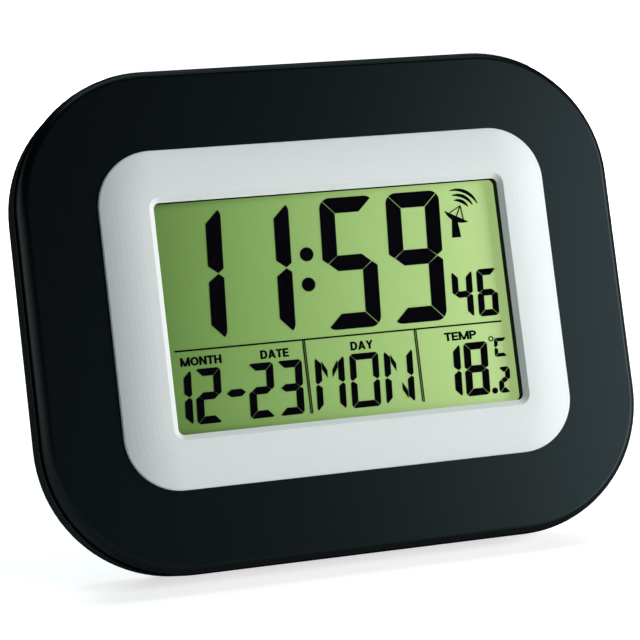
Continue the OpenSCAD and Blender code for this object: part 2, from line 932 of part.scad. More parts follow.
// Button i: a stem on the plunger, a flange behind the back and a dished cap
module button(i) {
    x = button_x[i - 1];
    color(black_plastic) lean() difference() {
        union() {
            peg(x, button_z, stem_y, flange_y + over / 2, button_stem_r);
            peg(x, button_z, flange_y, flange_y + button_flange_t, button_r + button_lip);
            peg(x, button_z, flange_y + over / 2, body_d + button_proud, button_r);
        }
        translate([x, body_d + button_proud + dish_ball - dish_depth, button_z]) sphere(dish_ball);
    }
}

// Piezo sounder against the back
module sounder() {
    color(rubber_black) lean() difference() {
        peg(sounder_x, sounder_z, back_in - sounder_h, back_in, sounder_r);
        peg(sounder_x, sounder_z, back_in - sounder_h / 2, back_in + over, sounder_hole_r);
    }
}

// Rear cover: shell, screw wells, battery bay, stand recess, button guides and wall hook
module rear_cover() {
    color(black_plastic) lean_on_table() difference() {
        union() {
            difference() {
                case_half(rear_section(), split_y, body_d);
                slab(split_y - over, back_in) inner_outline(0);
            }
            slab(split_y, split_y + lip_h) difference() {
                inner_outline(-wall / 4);
                inner_outline(snug + lip_t);
            }
            slab(split_y - lip_h, split_y + lip_h / 2) difference() {
                inner_outline(snug);
                inner_outline(snug + lip_t);
            }
            for (p = boss_places) peg(p[0], p[1], split_y, back_root, well_r + well_t);
            block(0, battery_z, cells_w + 2 * bay_wall, cells_h + 2 * bay_wall,
                bay_y - bay_floor, back_root);
            block(0, battery_z, frame_w, frame_h, bay_back - frame_deep, frame_y);
            block(0, (recess_top + recess_wall + wall / 2) / 2, recess_w + 2 * recess_wall,
                recess_top + recess_wall - wall / 2, recess_y - recess_wall, back_root);
            block(0, stand_z, recess_w + 2 * recess_cheek, 2 * (barrel_r + recess_wall),
                recess_y - recess_wall, back_root);
            for (x = key_post_x) peg(x, button_z, switch_y, back_root, key_post_r);
            peg(sounder_x, sounder_z, back_in - sounder_h / 2, back_root, sounder_r + slip + bay_wall);
        }
        bay_cuts();
        stand_cuts();
        back_holes();
    }
}

// The battery bay, the door's seat, its hinge channel and pin bores, and the thumb notch
module bay_cuts() {
    block(0, battery_z, cells_w, cells_h, bay_y, bay_back + over);
    block(0, battery_z, door_w + 2 * slip, door_h + 2 * slip, door_seat_y, bay_back + over);
    block(0, door_axis_z, door_w + 2 * slip, 2 * (door_barrel_r + slip),
        door_axis_y - door_barrel_r - slip, bay_back + over);
    bar(0, door_axis_y, door_axis_z, door_w + 4 * slip + 2 * door_pin_len, door_pin_r + pin_play);
    block(0, battery_z + door_h / 2, latch_w + 2 * slip, 2 * (latch_h + slip),
        door_seat_y, bay_back + over);
}

// The stand's recess and its pin bores
module stand_cuts() {
    block(0, (recess_bottom + recess_top) / 2, recess_w, recess_top - recess_bottom,
        recess_y, body_d + over);
    bar(0, stand_y, stand_z, recess_w + 2 * (stand_pin_len + slip), stand_pin_r + pin_play);
}

// Screw wells, button holes, sound holes, vents, the wall hook and the key board's pilot holes
module back_holes() {
    for (p = boss_places) {
        peg(p[0], p[1], split_y - over, body_d, screw_r + slip);
        peg(p[0], p[1], screw_seat, body_d + over, well_r);
    }
    for (x = button_x) peg(x, button_z, back_in - over, body_d + over, button_r + slip);
    for (x = key_post_x)
        peg(x, button_z, switch_y - over, switch_y + key_screw_bite + over, board_screw_r + screw_play);
    peg(sounder_x, sounder_z, back_in - sounder_h / 2 - over, back_in, sounder_r + snug);
    peg(sounder_x, sounder_z, back_in - over, body_d + over, sounder_hole_r);
    for (a = [0:sounder_hole_step:360 - sounder_hole_step])
        peg(sounder_x + sounder_hole_ring * cos(a), sounder_z + sounder_hole_ring * sin(a),
            back_in - over, body_d + over, sounder_hole_r);
    for (i = [-vent_half:vent_half])
        block(sensor_x, sensor_z + i * vent_pitch, vent_w, vent_h, back_in - over, body_d + over);
    peg(0, hook_z, back_in - over, body_d + over, hook_r);
    block(0, hook_z + hook_slot_len / 2, 2 * hook_slot_r, hook_slot_len, back_in - over, body_d + over);
    peg(0, hook_z + hook_slot_len, back_in - over, body_d + over, hook_slot_r);
}

// Battery door, hinged along its lower edge, with grip grooves under its latch
module battery_door() {
    door_top = battery_z + door_h / 2;
    door_span = door_top - door_axis_z;
    color(black_plastic) lean() difference() {
        union() {
            block(0, door_axis_z + door_span / 2, door_w, door_span, bay_back - door_t, bay_back);
            block(0, door_top, latch_w, 2 * latch_h, bay_back - door_t, bay_back);
            bar(0, door_axis_y, door_axis_z, door_w, door_barrel_r);
            bar(0, door_axis_y, door_axis_z, door_w + 2 * (slip + door_pin_len), door_pin_r);
        }
        for (i = [0:grip_count - 1])
            block(0, door_top - grip_drop - i * grip_pitch, grip_w, grip_h,
                bay_back - grip_deep, bay_back + over);
    }
}

// One battery cell along x, with its terminal to the right
module cell(z) {
    start = contact_t + leaf_h - cells_w / 2;
    bar(start + (cell_len - nub_len) / 2, cell_y, z, cell_len - nub_len, cell_r);
    bar(start + cell_len - nub_len, cell_y, z, 2 * nub_len, nub_r);
}

// Two cells, laid opposite ways
module battery_cells() {
    color(cell_amber) lean() {
        cell(low_cell_z);
        mirror([1, 0, 0]) cell(high_cell_z);
    }
}

// Contact plate at the left end of the bay
module contact_plate(z, h) {
    translate([-cells_w / 2, cell_y - contact_w / 2, z - h / 2]) cube([contact_t, contact_w, h]);
}

// Leaf spring that presses on a cell's flat end, bowed out from the left end of the bay
module contact_leaf(z) {
    reach = contact_t + leaf_h - screw_play;
    translate([-cells_w / 2, cell_y, z - leaf_w / 2])
        linear_extrude(leaf_w)
            polygon([[0, -contact_w / 2], [contact_t, -contact_w / 2],
                [reach, -contact_t], [reach, contact_t],
                [contact_t, contact_w / 2], [0, contact_w / 2],
                [contact_t, contact_w / 2 - 2 * contact_t],
                [reach - contact_t, 0],
                [contact_t, 2 * contact_t - contact_w / 2]]);
}

// Battery contacts: two plates at the left, one bridge at the right
module battery_contacts() {
    color(steel) lean() {
        contact_plate(low_cell_z, contact_w);
        contact_leaf(low_cell_z);
        contact_plate(high_cell_z, contact_w);
        mirror([1, 0, 0]) {
            contact_plate(battery_z, high_cell_z - low_cell_z + contact_w);
            contact_leaf(high_cell_z);
        }
    }
}

// Stand blade with its barrel, pins, stop heel and ribs, drawn about the hinge axis as if folded
module stand_folded() {
    difference() {
        union() {
            translate([-stand_w / 2, 0, -stand_len - stand_extra])
                cube([stand_w, stand_t, stand_len + stand_extra]);
            bar(0, 0, 0, stand_w, barrel_r);
            bar(0, 0, 0, recess_w + 2 * stand_pin_len, stand_pin_r);
            translate([-rib_x, -heel_t / 2, 0]) cube([2 * rib_x, heel_t, heel_len]);
            for (s = [-1, 0, 1])
                translate([s * rib_x - rib_t / 2, -rib_h, -stand_len + rib_end])
                    cube([rib_t, rib_h + stand_t / 2, stand_len - rib_end]);
        }
        peg(0, -stand_len - stand_extra, -over, stand_t + over, thumb_r);
    }
}

// Stand, swung open until its heel meets the recess and its foot meets the table
module stand() {
    color(black_plastic) lean_on_table()
        translate([0, stand_y, stand_z]) rotate([stand_open, 0, 0]) stand_folded();
}

// Screws that hold the case halves together
module case_screws() {
    color(steel) lean()
        for (p = boss_places) difference() {
            union() {
                peg(p[0], p[1], screw_seat, screw_seat + screw_head_h, screw_head_r);
                peg(p[0], p[1], wall + screw_tip, screw_seat + screw_head_h / 2, screw_r);
            }
            drive_cross(p[0], p[1], screw_seat + screw_head_h, screw_head_r);
        }
}

// Cross recess sunk into a screw head whose top lies at depth y
module drive_cross(x, z, y, r) {
    block(x, z, cross_reach * r, cross_slot, y - cross_deep, y + over);
    block(x, z, cross_slot, cross_reach * r, y - cross_deep, y + over);
}

// Screws that hold the main board
module board_screws() {
    color(steel) lean()
        for (p = post_places) difference() {
            union() {
                peg(p[0], p[1], board_back, board_back + board_screw_head_h, board_screw_head_r);
                peg(p[0], p[1], wall + board_screw_tip, board_back + over / 2, board_screw_r);
            }
            drive_cross(p[0], p[1], board_back + board_screw_head_h, board_screw_head_r);
        }
}

// Screws that hold the key board to the rear cover
module key_board_screws() {
    color(steel) lean()
        for (x = key_post_x) {
            peg(x, button_z, key_board_y - board_screw_head_h, key_board_y, board_screw_head_r);
            peg(x, button_z, key_board_y - over / 2, switch_y + key_screw_bite, board_screw_r);
        }
}

front_housing();
bezel();
display_window();
display_seal();
lcd_front_glass();
lcd_rear_glass();
lcd_reflector();
lcd_segments();
lcd_holder();
contact_strip();
main_board();
controller_chip();
quartz_crystal();
capacitors();
temperature_sensor();
radio_module();
ferrite_rod();
antenna_coil();
antenna_clips();
flex_jumper();
key_board();
switch_bodies();
switch_plunger(1);  // switch_plunger_1
switch_plunger(2);  // switch_plunger_2
switch_plunger(3);  // switch_plunger_3
switch_plunger(4);  // switch_plunger_4
switch_plunger(5);  // switch_plunger_5
switch_plunger(6);  // switch_plunger_6
button(1);  // button_1
button(2);  // button_2
button(3);  // button_3
button(4);  // button_4
button(5);  // button_5
button(6);  // button_6
sounder();
rear_cover();
battery_door();
battery_cells();
battery_contacts();
stand();
case_screws();
board_screws();
key_board_screws();
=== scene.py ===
import json
import math

import bmesh
import bpy
from mathutils import Matrix, Quaternion, Vector


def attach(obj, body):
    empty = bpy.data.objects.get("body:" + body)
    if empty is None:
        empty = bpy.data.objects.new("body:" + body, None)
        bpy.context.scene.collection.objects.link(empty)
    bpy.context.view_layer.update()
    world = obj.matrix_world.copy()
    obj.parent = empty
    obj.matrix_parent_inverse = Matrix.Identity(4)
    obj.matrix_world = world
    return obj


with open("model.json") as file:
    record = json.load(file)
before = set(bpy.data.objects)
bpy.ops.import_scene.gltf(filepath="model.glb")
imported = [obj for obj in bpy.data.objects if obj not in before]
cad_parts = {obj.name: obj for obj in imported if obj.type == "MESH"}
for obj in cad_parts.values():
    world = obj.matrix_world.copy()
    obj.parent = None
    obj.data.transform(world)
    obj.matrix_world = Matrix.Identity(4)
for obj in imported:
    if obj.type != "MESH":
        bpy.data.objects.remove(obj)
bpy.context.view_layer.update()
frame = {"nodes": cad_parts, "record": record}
scene = bpy.context.scene
scene.view_settings.view_transform = "Standard"

# The clock's upright frame, in millimetres: x right, y from the face to the back, z up.
# It leans back onto the table, as the CAD solids do.
MM = 0.001
LEAN = math.radians(18)
REST_Y = 24.2
REST_Z = 0.5145
FACE_Z = 92.0
GLASS_Y = 2.3
UPRIGHT = (Matrix.Scale(MM, 4) @ Matrix.Rotation(-LEAN, 4, "X")
           @ Matrix.Translation((0, -REST_Y, -REST_Z)))

# Camera, from a fit to the outlines of the bezel and the case in the photo
CAMERA_AT = Vector((-0.25467, -0.77615, 0.26821))
CAMERA_RIGHT = Vector((0.95164, -0.30629, -0.02393))
CAMERA_UP = Vector((0.08765, 0.19599, 0.97668))
CAMERA_LENS = 128.38
CAMERA_SENSOR = 36.0
CAMERA_CLIP = 0.01


def add_camera():
    data = bpy.data.cameras.new("camera")
    data.lens = CAMERA_LENS
    data.sensor_width = CAMERA_SENSOR
    data.clip_start = CAMERA_CLIP
    camera = bpy.data.objects.new("camera", data)
    right = CAMERA_RIGHT.normalized()
    back = right.cross(CAMERA_UP).normalized()
    up = back.cross(right)
    camera.matrix_world = Matrix.Translation(CAMERA_AT) @ Matrix((right, up, back)).transposed().to_4x4()
    scene.collection.objects.link(camera)
    scene.camera = camera


# Display film: its colours at the left and right ends, a painted shade that is darker at the left end and
# lighter at the right end, half its length, and the strength of a painted glow towards the right end that
# stands in for light over the bezel's shadow
FILM_SHADED_LEFT = (0.16, 0.31, 0.063)
FILM_LIT_RIGHT = (0.22, 0.315, 0.117)
FILM_HALF = 0.066
FILM_PAINTED_GLOW = 1.47

# Where gloss starts and ends to fade, as one less the cosine of the view's angle to the surface
FADE_FROM = 0.08
FADE_TO = 0.75


class Paint:
    """A Principled material with helpers that add procedural detail in the frame's own coordinates."""

    def __init__(self, name, base, rough, metal=0.0, alpha=1.0):
        self.mat = bpy.data.materials.new(name)
        self.mat.use_nodes = True
        self.nodes = self.mat.node_tree.nodes
        self.links = self.mat.node_tree.links
        self.shader = self.nodes["Principled BSDF"]
        self.shader.inputs["Base Color"].default_value = (*base, 1)
        self.shader.inputs["Roughness"].default_value = rough
        self.shader.inputs["Metallic"].default_value = metal
        self.shader.inputs["Alpha"].default_value = alpha
        self.place = self.nodes.new("ShaderNodeTexCoord").outputs["Object"]

    def stretched(self, factors):
        """The place, stretched along each axis, for textures that run in one direction."""
        mapping = self.nodes.new("ShaderNodeMapping")
        mapping.inputs["Scale"].default_value = factors
        self.links.new(self.place, mapping.inputs["Vector"])
        return mapping.outputs["Vector"]

    def noise(self, scale, detail=2.0, place=None):
        node = self.nodes.new("ShaderNodeTexNoise")
        node.inputs["Scale"].default_value = scale
        node.inputs["Detail"].default_value = detail
        self.links.new(place or self.place, node.inputs["Vector"])
        return node.outputs["Fac"]

    def cells(self, scale):
        node = self.nodes.new("ShaderNodeTexVoronoi")
        node.inputs["Scale"].default_value = scale
        self.links.new(self.place, node.inputs["Vector"])
        return node.outputs["Distance"]

    def ramp(self, value, stops):
        """A colour between two stops, each with its place and its colour."""
        node = self.nodes.new("ShaderNodeValToRGB")
        for element, (place, colour) in zip(node.color_ramp.elements, stops):
            element.position = place
            element.color = (*colour, 1)
        self.links.new(value, node.inputs["Fac"])
        return node.outputs["Color"]

    def span(self, axis, low, high):
        """Runs from 0 to 1 between two places on an axis."""
        split = self.nodes.new("ShaderNodeSeparateXYZ")
        self.links.new(self.place, split.inputs["Vector"])
        node = self.nodes.new("ShaderNodeMapRange")
        node.inputs["From Min"].default_value = low
        node.inputs["From Max"].default_value = high
        self.links.new(split.outputs[axis], node.inputs["Value"])
        return node.outputs["Result"]

    def colour(self, value, dark, light, low=0.3, high=0.7):
        """A base colour that runs from dark to light between two levels of a texture."""
        self.links.new(self.ramp(value, [(low, dark), (high, light)]), self.shader.inputs["Base Color"])

    def roughness(self, value, low, high):
        """A roughness that follows a texture."""
        node = self.nodes.new("ShaderNodeMapRange")
        node.inputs["To Min"].default_value = low
        node.inputs["To Max"].default_value = high
        self.links.new(value, node.inputs["Value"])
        self.links.new(node.outputs["Result"], self.shader.inputs["Roughness"])

    def fading_gloss(self, level):
        """A specular level that falls to nothing towards a grazing view, as on a coarse grain."""
        self.shader.inputs["Specular IOR Level"].default_value = level
        weight = self.nodes.new("ShaderNodeLayerWeight")
        node = self.nodes.new("ShaderNodeMapRange")
        node.interpolation_type = "SMOOTHSTEP"
        node.inputs["From Min"].default_value = FADE_FROM
        node.inputs["From Max"].default_value = FADE_TO
        node.inputs["To Min"].default_value = level
        node.inputs["To Max"].default_value = 0.0
        self.links.new(weight.outputs["Facing"], node.inputs["Value"])
        self.links.new(node.outputs["Result"], self.shader.inputs["Specular IOR Level"])

    def bump(self, value, strength, depth):
        """A fine relief that follows a texture, its depth in metres."""
        node = self.nodes.new("ShaderNodeBump")
        node.inputs["Strength"].default_value = strength
        node.inputs["Distance"].default_value = depth
        self.links.new(value, node.inputs["Height"])
        self.links.new(node.outputs["Normal"], self.shader.inputs["Normal"])


# Colours of the paints that follow
COOL_SHEEN = (0.66, 0.95, 1.0, 1)
WINDOW_TINT = (0.02, 0.02, 0.02)
STEEL_LIGHT = (0.68, 0.68, 0.7)
BOARD_GREEN = (0.02, 0.1, 0.045)
BOARD_DARK = (0.015, 0.085, 0.038)
TRACK_GREEN = (0.06, 0.2, 0.08)
JACKET_AMBER = (0.55, 0.33, 0.08)
JACKET_DARK = (0.02, 0.02, 0.022)

# Circuit tracks: their scale and width. A wave texture of scale 1 repeats at this length, in metres.
TRACK_SCALE = 160
TRACK_WIDTH = 0.03
WAVE_LENGTH = math.pi / 10

# Battery jacket: how far from its middle its pattern runs, in metres, and where the amber ends, as shares
JACKET_HALF = 0.03
AMBER_TO = 0.5
DARK_FROM = 0.52


def grained_black(name, dark, light, smooth, rough, gloss):
    """Moulded black plastic with a fine spark-eroded grain."""
    paint = Paint(name, light, rough)
    paint.shader.inputs["Specular Tint"].default_value = COOL_SHEEN
    paint.fading_gloss(gloss)
    paint.colour(paint.noise(scale=350), dark, light)
    paint.roughness(paint.noise(scale=900), smooth, rough)
    paint.bump(paint.noise(scale=3200, detail=3), strength=0.05, depth=0.00002)
    return paint


def coarse_black():
    """Moulded black plastic with a coarse matt grain, as on the backs of clocks."""
    paint = Paint("back_case", base=(0.027, 0.03, 0.032), rough=0.5)
    grain = paint.cells(scale=1300)
    paint.fading_gloss(0.4)
    paint.colour(grain, dark=(0.028, 0.031, 0.033), light=(0.02, 0.0225, 0.024), low=0.1, high=0.7)
    paint.roughness(paint.noise(scale=700), low=0.42, high=0.55)
    paint.bump(grain, strength=0.25, depth=0.00006)
    return paint


def silver_lacquer():
    """Fine metallic lacquer on plastic."""
    paint = Paint("silver_lacquer", base=(0.79, 0.815, 0.81), rough=0.45)
    paint.shader.inputs["Specular IOR Level"].default_value = 0.1
    paint.colour(paint.cells(scale=5200), dark=(0.77, 0.795, 0.79), light=(0.81, 0.835, 0.83),
                 low=0.2, high=0.8)
    paint.roughness(paint.noise(scale=1400), low=0.41, high=0.49)
    paint.bump(paint.noise(scale=4200), strength=0.05, depth=0.00002)
    return paint


def clear_window():
    """Clear acrylic sheet, nearly unseen but for its gloss."""
    paint = Paint("clear_window", WINDOW_TINT, rough=0.08, alpha=0.02)
    paint.roughness(paint.noise(scale=300), low=0.064, high=0.096)
    return paint


def display_film(name):
    """Green transflective film, with a fine pearl. Its colour is a painted shade, darker at its left end
    and lighter at its right end, and it has a painted glow towards its right end, which stands in for light
    and hides the bezel's shadow.
    """
    paint = Paint(name, FILM_LIT_RIGHT, rough=0.4)
    paint.shader.inputs["Specular IOR Level"].default_value = 0.3
    across = paint.span("X", -FILM_HALF, FILM_HALF)
    # Painted shade: the base colour runs from darker at the left end to lighter at the right end
    tint = paint.ramp(across, [(0.0, FILM_SHADED_LEFT), (1.0, FILM_LIT_RIGHT)])
    paint.links.new(tint, paint.shader.inputs["Base Color"])
    paint.links.new(tint, paint.shader.inputs["Emission Color"])
    # Painted light: the film glows more towards its right end, over the bezel's shadow, though it is no
    # lamp
    glow = paint.nodes.new("ShaderNodeMapRange")
    glow.inputs["To Max"].default_value = FILM_PAINTED_GLOW
    paint.links.new(across, glow.inputs["Value"])
    paint.links.new(glow.outputs["Result"], paint.shader.inputs["Emission Strength"])
    paint.roughness(paint.noise(scale=1500), low=0.36, high=0.44)
    return paint


def ink():
    """The display's black, without gloss."""
    paint = Paint("display_ink", base=(0.002, 0.002, 0.004), rough=0.5)
    paint.shader.inputs["Specular IOR Level"].default_value = 0.0
    paint.colour(paint.noise(scale=1800), dark=(0.0015, 0.0015, 0.003), light=(0.0025, 0.0025, 0.005))
    return paint


def plated_steel():
    """Drawn and plated steel, with streaks along x."""
    paint = Paint("plated_steel", STEEL_LIGHT, rough=0.38, metal=1.0)
    streaks = paint.noise(scale=600, place=paint.stretched((0.15, 1, 1)))
    paint.colour(streaks, dark=(0.55, 0.55, 0.56), light=STEEL_LIGHT)
    paint.roughness(streaks, low=0.25, high=0.38)
    paint.bump(streaks, strength=0.08, depth=0.00002)
    return paint


def mottled(name, dark, light, rough):
    """Plain plastic, rubber, resin or ceramic, with clouds and a fine grain."""
    paint = Paint(name, light, rough)
    grain = paint.noise(scale=2400)
    paint.colour(paint.noise(scale=700), dark, light)
    paint.roughness(grain, low=rough * 0.9, high=rough * 1.1)
    paint.bump(grain, strength=0.1, depth=0.00003)
    return paint


def circuit():
    """Green solder mask with lighter tracks."""
    paint = Paint("circuit_board", BOARD_GREEN, rough=0.35)
    node = paint.nodes.new("ShaderNodeTexBrick")
    node.inputs["Scale"].default_value = TRACK_SCALE
    node.inputs["Mortar Size"].default_value = TRACK_WIDTH
    node.inputs["Color1"].default_value = (*BOARD_DARK, 1)
    node.inputs["Color2"].default_value = (*BOARD_GREEN, 1)
    node.inputs["Mortar"].default_value = (*TRACK_GREEN, 1)
    turn = paint.nodes.new("ShaderNodeMapping")
    turn.inputs["Rotation"].default_value = (math.pi / 2 + LEAN, 0, 0)
    paint.links.new(paint.place, turn.inputs["Vector"])
    paint.links.new(turn.outputs["Vector"], node.inputs["Vector"])
    paint.links.new(node.outputs["Color"], paint.shader.inputs["Base Color"])
    paint.bump(node.outputs["Fac"], strength=0.2, depth=0.00005)
    return paint


def striped(name, dark, light, rough, metal, pitch):
    """Stripes across x at a pitch in metres, such as turns of wire."""
    paint = Paint(name, light, rough, metal)
    wave = paint.nodes.new("ShaderNodeTexWave")
    wave.bands_direction = "X"
    wave.inputs["Scale"].default_value = WAVE_LENGTH / pitch
    paint.links.new(paint.place, wave.inputs["Vector"])
    paint.colour(wave.outputs["Fac"], dark, light, low=0.1, high=0.6)
    paint.bump(wave.outputs["Fac"], strength=0.5, depth=0.0001)
    return paint


def cell_jacket():
    """Printed battery jacket: amber in the middle, dark towards both ends."""
    paint = Paint("cell_jacket", JACKET_AMBER, rough=0.32, metal=0.5)
    split = paint.nodes.new("ShaderNodeSeparateXYZ")
    paint.links.new(paint.place, split.inputs["Vector"])
    size = paint.nodes.new("ShaderNodeMath")
    size.operation = "ABSOLUTE"
    paint.links.new(split.outputs["X"], size.inputs[0])
    share = paint.nodes.new("ShaderNodeMapRange")
    share.inputs["From Max"].default_value = JACKET_HALF
    paint.links.new(size.outputs["Value"], share.inputs["Value"])
    bands = paint.ramp(share.outputs["Result"], [(AMBER_TO, JACKET_AMBER), (DARK_FROM, JACKET_DARK)])
    paint.links.new(bands, paint.shader.inputs["Base Color"])
    paint.roughness(paint.noise(scale=1500), low=0.28, high=0.36)
    return paint


# One paint for each material slot of the record, and one for the pieces of the back
PAINTS = {
    "black_case": grained_black("black_case", dark=(0.0008, 0.0013, 0.002), light=(0.0014, 0.002, 0.0028),
                                smooth=0.29, rough=0.33, gloss=0.155),
    "silver_bezel": silver_lacquer(),
    "clear_window": clear_window(),
    "display_glass": display_film("display_glass"),
    "display_back_glass": display_film("display_back_glass"),
    "reflector_film": display_film("reflector_film"),
    "display_ink": ink(),
    "white_moulding": mottled("white_moulding", dark=(0.7, 0.7, 0.66), light=(0.78, 0.78, 0.74), rough=0.5),
    "black_rubber": mottled("black_rubber", dark=(0.008, 0.008, 0.008), light=(0.014, 0.014, 0.014),
                            rough=0.8),
    "circuit_board": circuit(),
    "chip_resin": mottled("chip_resin", dark=(0.01, 0.01, 0.011), light=(0.018, 0.018, 0.02), rough=0.6),
    "plated_steel": plated_steel(),
    "capacitor_sleeve": mottled("capacitor_sleeve", dark=(0.008, 0.014, 0.08), light=(0.012, 0.02, 0.11),
                                rough=0.3),
    "ferrite": mottled("ferrite", dark=(0.018, 0.018, 0.02), light=(0.03, 0.03, 0.034), rough=0.7),
    "copper_wire": striped("copper_wire", dark=(0.25, 0.09, 0.03), light=(0.6, 0.26, 0.11),
                           rough=0.3, metal=1.0, pitch=0.0003),
    "flex_film": striped("flex_film", dark=(0.3, 0.16, 0.03), light=(0.5, 0.28, 0.06),
                         rough=0.35, metal=0.0, pitch=0.001),
    "cell_jacket": cell_jacket(),
    "button_plastic": grained_black("button_plastic", dark=(0.032, 0.035, 0.037),
                                    light=(0.038, 0.042, 0.044), smooth=0.35, rough=0.45, gloss=0.4),
}
BACK_PAINT = coarse_black()
BACK_NODES = ("rear_cover", "battery_door", "stand")
CREASE = math.radians(32)


def dress_nodes():
    """Gives every CAD node its material, and smooth shading up to a crease angle."""
    slots = {s["node"]: s["material_slot"] for s in frame["record"]["subparts"]}
    for name, node in frame["nodes"].items():
        node.data.materials.clear()
        paint = BACK_PAINT if name in BACK_NODES else PAINTS[slots[name]]
        node.data.materials.append(paint.mat)
        node.data.shade_smooth()
        node.data.set_sharp_from_angle(angle=CREASE)


# Printed bands: their thickness and how far they sink into what carries them, in mm, and limits of joins
PRINT_THICK = 0.12
PRINT_SINK = 0.02
RING_GAP = 0.0001
MITRE_LEAST = 0.25


def arc(cx, cz, rx, rz, start, end, steps=12):
    """Points along an ellipse, between two angles in degrees from the x axis."""
    angles = [math.radians(start + (end - start) * i / steps) for i in range(steps + 1)]
    return [(cx + rx * math.cos(a), cz + rz * math.sin(a)) for a in angles]


def ribbon_edges(points, half):
    """Both edges of a ribbon along a line of points, with square ends and mitred corners.
    Also says whether it is a ring."""
    line = [Vector(p) for p in points]
    ring = (line[0] - line[-1]).length < RING_GAP
    if ring:
        line.pop()
    else:
        line[0] += (line[0] - line[1]).normalized() * half
        line[-1] += (line[-1] - line[-2]).normalized() * half
    edges = []
    for i, point in enumerate(line):
        last = i + 1 == len(line)
        into = line[1] - point if i == 0 and not ring else point - line[i - 1]
        away = into if last and not ring else line[(i + 1) % len(line)] - point
        before = Vector((-into.y, into.x)).normalized()
        after = Vector((-away.y, away.x)).normalized()
        side = (before + after) * half / max(1 + before.dot(after), MITRE_LEAST)
        edges.append((point + side, point - side))
    return edges, ring


def add_print(name, bands, surface_y, out, body, slot):
    """Printed bands on a plane of constant y, with out -1 towards the front and 1 towards the back.
    Each band is its pairs of edge points, x and z in mm, and whether it closes to a ring."""
    shape = bmesh.new()
    depths = [surface_y - out * PRINT_SINK, surface_y + out * PRINT_THICK]
    for pairs, ring in bands:
        rows = []
        for pair in pairs:
            rows.append([shape.verts.new(UPRIGHT @ Vector((x, y, z))) for x, z in pair for y in depths])
        if ring:
            rows.append(rows[0])
        else:
            shape.faces.new([rows[0][i] for i in (0, 1, 3, 2)])
            shape.faces.new([rows[-1][i] for i in (0, 2, 3, 1)])
        for a, b in zip(rows, rows[1:]):
            for i, j in ((1, 3), (3, 2), (2, 0), (0, 1)):
                shape.faces.new((a[i], a[j], b[j], b[i]))
    bmesh.ops.recalc_face_normals(shape, faces=shape.faces)
    mesh = bpy.data.meshes.new(name)
    shape.to_mesh(mesh)
    shape.free()
    mesh.materials.append(PAINTS[slot].mat)
    piece = bpy.data.objects.new(name, mesh)
    scene.collection.objects.link(piece)
    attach(piece, body)


# Generic labels of the display's fields: words, left and right edge, in mm from the face centre.
# Then their foot and head, the gap between letters, and the widths of upright and level strokes.
LABELS = [("MONTH", -61.75, -46.33), ("DATE", -31.67, -20.83), ("DAY", 2.97, 11.75), ("TEMP", 40.0, 52.8)]
LABEL_LOW = FACE_Z - 17.25
LABEL_HIGH = FACE_Z - 14.05
LABEL_GAP = 0.16
LABEL_STEM = 0.86
LABEL_BEAM = 0.7

# Letters: their widths against one another, and where their cross bars, arms, waists, forks and bowls end,
# as shares of their height or width
LETTER_WIDTHS = {"A": 1.0, "D": 0.9, "E": 0.76, "H": 0.88, "M": 1.16, "N": 0.9, "O": 1.0, "P": 0.82,
                 "T": 0.8, "Y": 0.92}
A_BAR = 0.18
E_ARM = 0.92
P_WAIST = 0.36
Y_FORK = 0.42
BOWL_REACH = 0.5
BOW_STEPS = 24


def bar(left, low, right, high):
    """An upright or level band."""
    return [((left, low), (right, low)), ((left, high), (right, high))], False


def slant(foot, head, low, high):
    """A leaning stem with level ends, by the left corners of its foot and its head."""
    return [((foot, low), (foot + LABEL_STEM, low)), ((head, high), (head + LABEL_STEM, high))], False


def bow(cx, cz, rx, rz, start, end):
    """Pairs of edge points of a round stroke, as wide as a stem at its sides and as a beam at its ends."""
    outer = arc(cx, cz, rx, rz, start, end, BOW_STEPS)
    inner = arc(cx, cz, rx - LABEL_STEM, rz - LABEL_BEAM, start, end, BOW_STEPS)
    return list(zip(outer, inner))


def bowl(wide, low, high):
    """The round side of a D or a P, from the middle of its stem."""
    rx = BOWL_REACH * wide
    rz = (high - low) / 2
    start = LABEL_STEM / 2
    top = ((start, high), (start, high - LABEL_BEAM))
    bottom = ((start, low), (start, low + LABEL_BEAM))
    return [top, *bow(wide - rx, low + rz, rx, rz, 90, -90), bottom], False


def letter(name, wide):
    """A bold letter's bands, in mm from its lower left corner."""
    tall = LABEL_HIGH - LABEL_LOW
    far = wide - LABEL_STEM
    stem = bar(0, 0, LABEL_STEM, tall)
    far_stem = bar(far, 0, wide, tall)
    mid = far / 2
    inset = LABEL_STEM / 2
    waist = (tall - LABEL_BEAM) / 2
    fork = Y_FORK * tall
    shapes = {
        "A": [slant(0, mid, 0, tall), slant(far, mid, 0, tall),
              bar(LABEL_STEM, A_BAR * tall, far, A_BAR * tall + LABEL_BEAM)],
        "D": [stem, bowl(wide, 0, tall)],
        "E": [stem, bar(inset, 0, wide, LABEL_BEAM), bar(inset, waist, E_ARM * wide, waist + LABEL_BEAM),
              bar(inset, tall - LABEL_BEAM, wide, tall)],
        "H": [stem, far_stem, bar(inset, waist, wide - inset, waist + LABEL_BEAM)],
        "M": [stem, far_stem, slant(mid, 0, 0, tall), slant(mid, far, 0, tall)],
        "N": [stem, far_stem, slant(far, 0, 0, tall)],
        "O": [(bow(wide / 2, tall / 2, wide / 2, tall / 2, 0, 360)[:-1], True)],
        "P": [stem, bowl(wide, P_WAIST * tall, tall)],
        "T": [bar(0, tall - LABEL_BEAM, wide, tall), bar(mid, 0, mid + LABEL_STEM, tall - LABEL_BEAM / 2)],
        "Y": [bar(mid, 0, mid + LABEL_STEM, fork), slant(mid, 0, fork, tall), slant(mid, far, fork, tall)],
    }
    return shapes[name]


